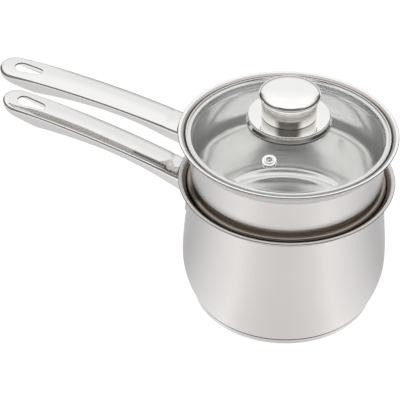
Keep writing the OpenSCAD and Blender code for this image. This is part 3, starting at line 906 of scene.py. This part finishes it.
def handle(name, root_z, rise, outer, body, node):
    """A stamped handle: domed top, rounded edges, upright skirts and a teardrop hole."""
    root = wall_radius(outer, root_z) + PLATE_T
    edge = outline(root, HANDLE_STEP)
    hole = teardrop(HOLE_EDGE_R)
    verts, faces, border_count = plan_mesh(edge, root, hole, HANDLE_STEP)

    def top(s, y):
        return root_z + handle_line(s, rise) + crown_height(s, y)

    def slope_to(s, y, n):
        """Fall of the top per millimetre in direction n."""
        return (top(s, y) - top(s + n.x * PROBE, y + n.y * PROBE)) / PROBE

    def lean(s, y):
        """How much deeper than its thickness the sheet is, measured upright."""
        along = (top(s + PROBE, y) - top(s - PROBE, y)) / (2 * PROBE)
        across = (top(s, y + PROBE) - top(s, y - PROBE)) / (2 * PROBE)
        return math.sqrt(1 + along * along + across * across)

    mesh = bmesh.new()

    def place(s, y, z):
        return mesh.verts.new((-s * MM, y * MM, z * MM))

    outer_verts = [place(s, y, top(s, y)) for s, y in verts]
    inner_verts = [place(s, y, top(s, y) - HANDLE_T * lean(s, y)) for s, y in verts]
    for a, b, c in faces:
        mesh.faces.new((outer_verts[a], outer_verts[b], outer_verts[c]))
        under = mesh.faces.new((inner_verts[c], inner_verts[b], inner_verts[a]))
        # Painted shade on the handle's underside
        under.material_index = HANDLE_MATERIALS.index(HANDLE_UNDER_SHADE)

    columns = []
    for i, (s, y, n, r) in enumerate(edge):
        fall = slope_to(s, y, n)
        z_out = top(s, y)
        z_in = z_out - HANDLE_T * lean(s, y)
        plan_s = s + n.x * r
        bottom = root_z + handle_line(plan_s, rise) - skirt_depth(plan_s)
        column = [outer_verts[i]]
        rows = curve_down(fall, r, r * EDGE_FALL, EDGE_ROWS)
        column += [place(s + n.x * run, y + n.y * run, z_out + up) for run, up in rows]
        outer_low = z_out + rows[-1][1]
        inner_run = r - HANDLE_T
        inner_rows = curve_down(fall, inner_run, inner_run * EDGE_FALL, INNER_ROWS)
        inner_low = z_in + inner_rows[-1][1]
        half = HANDLE_T / 2
        straight_end = bottom + half
        for t in SKIRT_ROWS:
            z = outer_low + (straight_end - outer_low) * t
            column.append(place(s + n.x * r, y + n.y * r, z))
        for a in LOW_EDGE_TURNS:
            run = r - half + half * math.cos(math.radians(a))
            up = bottom + half - half * math.sin(math.radians(a))
            column.append(place(s + n.x * run, y + n.y * run, up))
        for t in reversed(SKIRT_ROWS):
            z = inner_low + (straight_end - inner_low) * t
            column.append(place(s + n.x * inner_run, y + n.y * inner_run, z))
        column += [
            place(s + n.x * run, y + n.y * run, z_in + up) for run, up in reversed(inner_rows)
        ]
        column.append(inner_verts[i])
        columns.append(column)
    for left, right in zip(columns, columns[1:]):
        for k in range(len(left) - 1):
            side = mesh.faces.new((left[k], right[k], right[k + 1], left[k + 1]))
            # The skirts take painted shade
            if EDGE_ROWS < k < EDGE_ROWS + len(SKIRT_ROWS):
                side.material_index = HANDLE_MATERIALS.index(HANDLE_SIDE_SHADE)

    hole_columns = []
    for i, (s, y, n) in enumerate(hole):
        k = border_count + i
        z_out = top(s, y)
        depth = HANDLE_T * lean(s, y)
        rows = curve_down(slope_to(s, y, n), HOLE_EDGE_R, HOLE_EDGE_R * EDGE_FALL, HOLE_ROWS)
        column = [outer_verts[k]]
        column += [place(s + n.x * run, y + n.y * run, z_out + up) for run, up in rows]
        for run, up in ((HOLE_EDGE_R, HOLE_BEVEL), (HOLE_EDGE_R - HOLE_BEVEL, 0.0)):
            column.append(place(s + n.x * run, y + n.y * run, z_out - depth + up))
        column.append(inner_verts[k])
        hole_columns.append(column)
    for left, right in zip(hole_columns, hole_columns[1:] + hole_columns[:1]):
        for k in range(len(left) - 1):
            wall = mesh.faces.new((left[k], left[k + 1], right[k + 1], right[k]))
            # The hole's lower wall takes painted shade
            if k >= HOLE_BRIGHT_ROWS:
                wall.material_index = HANDLE_MATERIALS.index(PAINTED_SHADE)

    start = [0] + list(range(border_count - 1, len(edge) - 2, -1))
    for a, b in zip(start, start[1:]):
        mesh.faces.new((outer_verts[a], outer_verts[b], inner_verts[b], inner_verts[a]))
    for column in (columns[0], columns[-1]):
        last = len(column) - 1
        for k in range(last // 2):
            corners = [column[k], column[k + 1], column[last - k - 1], column[last - k]]
            corners = list(dict.fromkeys(corners))
            if len(corners) > 2:
                mesh.faces.new(corners)

    for v in mesh.verts:
        s, y, z = -v.co.x / MM, v.co.y / MM, v.co.z / MM
        if s < FIT_END:
            meet = wall_radius(outer, z) + PLATE_T
            here = math.sqrt(root * root - y * y)
            there = math.sqrt(meet * meet - y * y)
            s = there + (s - here) * (FIT_END - there) / (FIT_END - here)
            v.co.x = -s * MM
    return link(name, HANDLE_MATERIALS, body, [node], mesh)


handle("pot_handle", POT_H - POT_DROP, POT_RISE, POT_OUTER, "lower_pot", "lower_handle")
handle(
    "insert_handle_dressed", INSERT_H - INSERT_DROP, INSERT_RISE, INSERT_OUTER, "insert", "insert_handle"
)


# Lid
def lid_band():
    """The rolled steel band: flange, channel over the insert's lip and ledge under the glass."""
    finishes = [PAN_BRIGHT, RIM_HIGHLIGHT]
    profile = rounded([
        (GRIP_R, LIP_UNDER),
        (GRIP_R, LIP_TOP),
        (FLANGE_IN_R, LIP_TOP),
        (FLANGE_IN_R, FLANGE_TOP),
        (FLANGE_R - BAND_T, FLANGE_TOP),
        (FLANGE_R, FLANGE_TOP - BAND_T),
        (FLANGE_R, FLANGE_Z),
        (CHANNEL_R + BAND_T, FLANGE_Z),
        (CHANNEL_R, FLANGE_Z - BAND_T),
        (CHANNEL_R, TAPER_Z),
        (BAND_LOW_R, BAND_LOW_Z),
        (LEDGE_R, BAND_LOW_Z),
        (LEDGE_R, BAND_LOW_Z + BAND_T),
        (BAND_LOW_R - BAND_T, BAND_LOW_Z + BAND_T),
        (CHANNEL_IN_R, TAPER_Z + BAND_T),
        (CHANNEL_IN_R, LIP_UNDER),
    ], BAND_CORNER_R, 5)

    def finish(r, z, p, q):
        # The flange's outer side is a painted highlight
        side = r > FLANGE_R - FLANGE_SIDE_IN and z < FLANGE_TOP - FLANGE_SIDE_DOWN
        return RIM_HIGHLIGHT if side else PAN_BRIGHT

    mesh = turned(profile, finishes, finish, closed=True)
    link("band", finishes, "lid", ["lid_band"], mesh)


def at_vent():
    """From the vent's own axes, with +Z out of the dome, to the frame."""
    tilt = math.asin(VENT_AT / DOME_R)
    return (
        Matrix.Translation((0, 0, DOME_Z * MM))
        @ Matrix.Rotation(math.radians(VENT_TURN), 4, "Z")
        @ Matrix.Rotation(tilt, 4, "Y")
    )


def lid_glass():
    """The dome, with a ground edge, a hole for the knob's screw and one for the vent."""
    steps = 40
    span = GLASS_R - GLASS_EDGE_W - SCREW_HOLE_R
    outer = [SCREW_HOLE_R + span * i / steps for i in range(steps + 1)]
    top = [(r, dome_at(r)) for r in outer]
    bottom = [(r, DOME_Z + math.sqrt(UNDER_DOME_R ** 2 - r * r)) for r in reversed(outer)]
    high, low = top[-1][1], bottom[0][1]
    edge = [(GLASS_R, high - GLASS_EDGE_H), (GLASS_R, low + GLASS_EDGE_H)]
    mesh = turned(top + edge + bottom, closed=True)
    piece = link("glass", [GLASS], "lid", ["lid_glass"], mesh)
    drill_r = VENT_R + VENT_WALL + SNUG
    start, end = DOME_R - DRILL_REACH, DOME_R + DRILL_REACH
    drill_line = [(0, start), (drill_r, start), (drill_r, end), (0, end)]
    drill_mesh = turned(drill_line, matrix=at_vent(), segments=DRILL_SEGMENTS)
    drill_data = bpy.data.meshes.new("drill")
    bmesh.ops.recalc_face_normals(drill_mesh, faces=drill_mesh.faces)
    drill_mesh.to_mesh(drill_data)
    drill_mesh.free()
    drill = bpy.data.objects.new("drill", drill_data)
    bpy.context.scene.collection.objects.link(drill)
    cut = piece.modifiers.new("vent_hole", "BOOLEAN")
    cut.operation = "DIFFERENCE"
    cut.solver = "EXACT"
    cut.object = drill
    bpy.context.view_layer.update()
    evaluated = piece.evaluated_get(bpy.context.evaluated_depsgraph_get())
    cut_data = bpy.data.meshes.new_from_object(evaluated)
    piece.modifiers.clear()
    piece.data = cut_data
    bpy.data.objects.remove(drill)


def vent():
    """The vent's hollow rivet and its two rings, on the dome's own slope."""
    top = DOME_R + VENT_RING_T
    ring_low = math.sqrt(UNDER_DOME_R ** 2 - VENT_RING_R ** 2)
    low = ring_low - VENT_RING_T
    tube = VENT_R + VENT_WALL
    roll = tube + VENT_ROLL
    profile = rounded([
        (VENT_R, low - VENT_ROLL), (roll, low - VENT_ROLL), (roll, low), (tube, low),
        (tube, top), (roll, top), (roll, top + VENT_ROLL), (VENT_R, top + VENT_ROLL),
    ], VENT_ROLL_CORNER_R, 5)
    place = at_vent()
    mesh = turned(profile, matrix=place, closed=True, segments=SMALL_SEGMENTS)
    link("vent_rivet", [KNOB_BRIGHT], "lid", ["vent_eyelet"], mesh)
    for name, node, z in (
        ("vent_ring_top", "vent_washer_top", DOME_R),
        ("vent_ring_under", "vent_washer_bottom", low),
    ):
        end = z + VENT_RING_T
        corners = [(tube + SNUG, z), (VENT_RING_R, z), (VENT_RING_R, end), (tube + SNUG, end)]
        profile = rounded(corners, VENT_RING_CORNER_R, 4)
        mesh = turned(profile, matrix=place, closed=True, segments=SMALL_SEGMENTS)
        link(name, [KNOB_BRIGHT], "lid", [node], mesh)


# Knob
def knob_dish():
    """The knob's foot: a shallow dish with a stepped edge."""
    finishes = [KNOB_BRIGHT, PAINTED_SHADE]
    shoulder = DISH_H / 3
    top_r = DISH_R - 3 * DISH_STEP
    profile = rounded([
        (DISH_R, DISH_Z),
        (DISH_R, DISH_Z + shoulder),
        (top_r, DISH_Z + 2 * shoulder),
        (top_r, DISH_TOP),
        (CORE_R, DISH_TOP),
        (CORE_R, DISH_UNDER),
        (DISH_R - 7 * DISH_STEP, DISH_UNDER),
        (DISH_R - KNOB_T, DISH_Z + shoulder),
        (DISH_R - KNOB_T, DISH_Z),
    ], DISH_CORNER_R, 6)
    for z in (DISH_Z + DISH_FOOT_SHADE, DISH_TOP - DISH_EDGE_SHADE):
        profile = cut_at(profile, z)

    def finish(r, z, p, q):
        # Painted shade lines at the dish's upper edge and at its foot
        edge = z > DISH_TOP - DISH_EDGE_SHADE and r > top_r - DISH_EDGE_SHADE / 2
        return PAINTED_SHADE if edge or z < DISH_Z + DISH_FOOT_SHADE else KNOB_BRIGHT

    mesh = turned(profile, finishes, finish, closed=True)
    link("knob_dish", finishes, "lid", ["knob_base"], mesh)


def drum_side(r, low, high, steps=12):
    """The drum's gently bulging side, upward."""
    return [
        (r + DRUM_BULGE * math.sin(math.pi * i / steps), low + (high - low) * i / steps)
        for i in range(steps + 1)
    ]


def knob_drum():
    """The satin drum between dish and cap, with a painted shade line at each end."""
    finishes = [KNOB_DRUM, PAINTED_SHADE]
    end_z = CAP_SHOULDER_Z - KNOB_T
    profile = [(CORE_R, DISH_TOP)] + drum_side(DRUM_R, DISH_TOP, CAP_Z)
    profile += [(DRUM_R, end_z), (DRUM_R - KNOB_T, end_z)]
    profile += list(reversed(drum_side(DRUM_R - KNOB_T, DISH_TOP + KNOB_T, CAP_Z)))
    profile += [(CORE_R, DISH_TOP + KNOB_T)]
    low_shade_line, high_shade_line = DISH_TOP + KNOB_SHADE_LINE, CAP_Z - CAP_LAP - KNOB_SHADE_LINE
    for z in (low_shade_line, high_shade_line):
        profile = cut_at(profile, z)

    # Painted shade lines at the drum's ends
    def finish(r, z, p, q):
        return KNOB_DRUM if low_shade_line < z < high_shade_line else PAINTED_SHADE

    mesh = turned(profile, finishes, finish, closed=True)
    link("knob_drum", finishes, "lid", ["knob_stem"], mesh)


def knob_top():
    """The cap: a flared side and a shallow dome with a rounded shoulder."""
    top_r = (CAP_MEET_R ** 2 + CAP_FALL ** 2) / (2 * CAP_FALL)
    centre = (0, CAP_SHOULDER_Z + CAP_DOME - top_r)
    meet = math.degrees(math.asin(CAP_MEET_R / top_r))
    inner = math.degrees(math.asin(CAP_HOLLOW_R / (top_r - KNOB_T)))
    dome = arc(centre, top_r, 90 - meet, 90, 12)
    fall = math.tan(math.radians(meet))
    low = (DRUM_R + KNOB_T, CAP_Z - CAP_LAP)
    widest = (CAP_TOP_R, CAP_Z + CAP_WIDEST_H)
    leave = (low[0] + CAP_LOW_PULL[0], low[1] + CAP_LOW_PULL[1])
    side = bezier(low, leave, (CAP_TOP_R, widest[1] - CAP_SIDE_PULL), widest, 8)
    shoulder = bezier(
        widest, (CAP_TOP_R, widest[1] + CAP_SHOULDER_PULL),
        (CAP_MEET_R + CAP_DOME_PULL, dome[0][1] - CAP_DOME_PULL * fall), dome[0], 28
    )
    profile = [(DRUM_R, CAP_Z), (DRUM_R, low[1])] + side + shoulder[1:] + dome[1:]
    profile += arc(centre, top_r - KNOB_T, 90, 90 - inner, 10)
    mesh = turned(profile, closed=True)
    link("knob_top", [KNOB_BRIGHT], "lid", ["knob_cap"], mesh)


lid_band()
lid_glass()
vent()
knob_dish()
knob_drum()
knob_top()

# Pieces that keep their CAD shape
for node, material in (
    ("base_core", CORE),
    # The brackets take the handles' painted underside shade
    ("lower_handle_bracket", HANDLE_UNDER_SHADE), ("insert_handle_bracket", HANDLE_UNDER_SHADE),
    ("glass_seal", SEAL), ("knob_core", SCREW), ("knob_gasket", SEAL), ("under_gasket", SEAL),
    ("screw_washer", SCREW), ("knob_screw", SCREW),
):
    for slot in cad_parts[node].material_slots:
        slot.material = material


# Studio, as the metal sees it. Places round the pot go by how far they face the camera's side,
# heights on the walls by the sine of the angle above the horizon.
# Painted pools of light and shade on the floor round the pot, seen only in the metal
PAINTED_FLOOR_POOLS = [
    (0.0, (0.56, 0.56, 0.565)), (0.2, (0.58, 0.58, 0.585)), (0.38, (0.50, 0.50, 0.505)),
    (0.5, (0.60, 0.60, 0.60)), (0.68, (0.80, 0.80, 0.80)), (0.8, (0.91, 0.91, 0.905)),
    (0.88, (1.0, 0.995, 0.985)), (0.94, (0.84, 0.83, 0.82)), (1.0, (0.73, 0.715, 0.705)),
]
FLOOR_GLOW = 1.08
WHITE = (1.0, 1.0, 1.0)
BLACK = (0.0, 0.0, 0.0)
DARK = (0.05, 0.046, 0.042)
SHADE = (0.27, 0.262, 0.255)
DIM = (0.38, 0.375, 0.37)
PALE = (0.88, 0.88, 0.88)
# Distance from the pot over which the floor turns duller, and where the table ends
FLOOR_NEAR = 0.21
FLOOR_DULL = 0.29
FLOOR_DULL_TONE = (0.84, 0.835, 0.83)
TABLE_END = 0.56
TABLE_GONE = 0.60
FRONT_WALL = [(0.0, SHADE), (0.28, SHADE), (0.40, DARK), (0.70, DARK), (0.78, WHITE), (1.0, WHITE)]
SIDE_WALLS = [(0.0, DARK), (0.18, DARK), (0.45, DIM), (0.65, PALE), (0.8, WHITE), (1.0, WHITE)]
BACK_WALL = [(0.0, DIM), (0.12, DIM), (0.35, PALE), (0.55, PALE), (0.75, WHITE), (1.0, WHITE)]
FRONT_WIDTH = [(0.0, BLACK), (0.74, BLACK), (0.90, WHITE), (1.0, WHITE)]
BACK_WIDTH = [(0.0, BLACK), (0.09, BLACK), (0.14, WHITE), (1.0, WHITE)]
# Share of the room's darks that metal behind the glass mirrors
THROUGH_GLASS = 0.1
# Floor: half its side, gap under the pot, its white, and how much of it is its own glow
FLOOR_HALF = 4.0
FLOOR_GAP = 0.0002
FLOOR_WHITE = (0.93, 0.93, 0.93)
FLOOR_GLOW_SHARE = 0.91
# The table's end stays unseen straight behind the pot: facing where it starts and where it is whole
TABLE_END_FROM = 0.09
TABLE_END_WHOLE = 0.14


def any_of(tree, outputs):
    """Largest of some 0-or-1 values."""
    value = outputs[0]
    for other in outputs[1:]:
        value = maths(tree, "MAXIMUM", value, other)
    return value


def ramp(tree, value, stops):
    """A colour scale over a value, from (place, colour) stops."""
    node = tree.nodes.new("ShaderNodeValToRGB")
    node.color_ramp.elements[0].position = stops[0][0]
    node.color_ramp.elements[0].color = (*stops[0][1], 1)
    node.color_ramp.elements[1].position = stops[-1][0]
    node.color_ramp.elements[1].color = (*stops[-1][1], 1)
    for place, colour in stops[1:-1]:
        element = node.color_ramp.elements.new(place)
        element.color = (*colour, 1)
    tree.links.new(value, node.inputs["Fac"])
    return node.outputs["Color"]


def front_share(tree, place):
    """How far a place lies toward the camera's side: 0 straight behind the pot, 1 in front of it."""
    unit = vectors(tree, "NORMALIZE", vectors(tree, "MULTIPLY", place, (1, 1, 0)))
    front = Vector((CAMERA_AT[0], CAMERA_AT[1], 0)).normalized()
    return spread(tree, vectors(tree, "DOT_PRODUCT", unit, front), -1.0, 1.0)


def blend(tree, share, first, second):
    """One colour turning into another with a share of 0 to 1."""
    mix = tree.nodes.new("ShaderNodeMix")
    mix.data_type = "RGBA"
    tree.links.new(share, mix.inputs["Factor"])
    for colour, socket in ((first, "A"), (second, "B")):
        if isinstance(colour, tuple):
            mix.inputs[socket].default_value = (*colour, 1)
        else:
            tree.links.new(colour, mix.inputs[socket])
    return mix.outputs["Result"]


def floor():
    """A white floor that hides in the ground; in the metal it shows painted pools of light and shade and
    a dark table end.
    """
    data = bpy.data.meshes.new("floor")
    signs = ((-1, -1), (1, -1), (1, 1), (-1, 1))
    corners = [(x * FLOOR_HALF, y * FLOOR_HALF, 0) for x, y in signs]
    data.from_pydata(corners, [], [(0, 1, 2, 3)])
    plane = bpy.data.objects.new("floor", data)
    plane.location.z = -FLOOR_GAP
    bpy.context.scene.collection.objects.link(plane)
    material = bpy.data.materials.new("floor_white")
    material.use_nodes = True
    tree = material.node_tree
    tree.nodes.clear()
    diffuse = tree.nodes.new("ShaderNodeBsdfDiffuse")
    diffuse.inputs["Color"].default_value = (*FLOOR_WHITE, 1)
    place = tree.nodes.new("ShaderNodeTexCoord").outputs["Object"]
    facing = front_share(tree, place)
    far = vectors(tree, "LENGTH", place)
    near_tone = ramp(tree, facing, PAINTED_FLOOR_POOLS)
    table = blend(tree, spread(tree, far, FLOOR_NEAR, FLOOR_DULL), near_tone, FLOOR_DULL_TONE)
    beyond = spread(tree, far, TABLE_END, TABLE_GONE)
    ended = maths(tree, "MULTIPLY", beyond, spread(tree, facing, TABLE_END_FROM, TABLE_END_WHOLE))
    mirrored = blend(tree, ended, table, DARK)
    path = tree.nodes.new("ShaderNodeLightPath")
    glow = tree.nodes.new("ShaderNodeEmission")
    glow.inputs["Strength"].default_value = FLOOR_GLOW
    tree.links.new(blend(tree, path.outputs["Is Glossy Ray"], WHITE, mirrored), glow.inputs["Color"])
    rays = ("Is Camera Ray", "Is Glossy Ray", "Is Transmission Ray")
    seen = any_of(tree, [path.outputs[name] for name in rays])
    mix = tree.nodes.new("ShaderNodeMixShader")
    out = tree.nodes.new("ShaderNodeOutputMaterial")
    tree.links.new(maths(tree, "MULTIPLY", seen, FLOOR_GLOW_SHARE), mix.inputs[0])
    tree.links.new(diffuse.outputs[0], mix.inputs[1])
    tree.links.new(glow.outputs[0], mix.inputs[2])
    tree.links.new(mix.outputs[0], out.inputs[0])
    data.materials.append(material)


def studio():
    """White all round to the eye; in the metal, a white room with a dark band on the camera's side."""
    world = bpy.data.worlds.new("studio")
    bpy.context.scene.world = world
    world.use_nodes = True
    tree = world.node_tree
    tree.nodes.clear()
    place = tree.nodes.new("ShaderNodeTexCoord").outputs["Generated"]
    split = tree.nodes.new("ShaderNodeSeparateXYZ")
    tree.links.new(place, split.inputs[0])
    facing = front_share(tree, place)
    walls = [ramp(tree, split.outputs[2], stops) for stops in (BACK_WALL, SIDE_WALLS, FRONT_WALL)]
    room = blend(tree, ramp(tree, facing, BACK_WIDTH), walls[0], walls[1])
    room = blend(tree, ramp(tree, facing, FRONT_WIDTH), room, walls[2])
    path = tree.nodes.new("ShaderNodeLightPath")
    clear = spread(tree, path.outputs["Is Transmission Ray"], 0.0, 1.0, 1.0, THROUGH_GLASS)
    mirrored = maths(tree, "MULTIPLY", path.outputs["Is Glossy Ray"], clear)
    background = tree.nodes.new("ShaderNodeBackground")
    out = tree.nodes.new("ShaderNodeOutputWorld")
    tree.links.new(blend(tree, mirrored, WHITE, room), background.inputs["Color"])
    tree.links.new(background.outputs[0], out.inputs[0])


def camera():
    data = bpy.data.cameras.new("camera")
    data.lens = CAMERA_LENS
    data.sensor_width = CAMERA_SENSOR
    data.clip_end = CAMERA_CLIP
    eye = bpy.data.objects.new("camera", data)
    bpy.context.scene.collection.objects.link(eye)
    eye.matrix_world = (
        Matrix.Translation(CAMERA_AT)
        @ Matrix.Rotation(math.radians(CAMERA_TURN), 4, "Z")
        @ Matrix.Rotation(math.radians(CAMERA_TILT), 4, "X")
        @ Matrix.Rotation(math.radians(CAMERA_ROLL), 4, "Z")
    )
    bpy.context.scene.camera = eye


floor()
studio()
camera()
bpy.context.scene.view_settings.view_transform = "Standard"
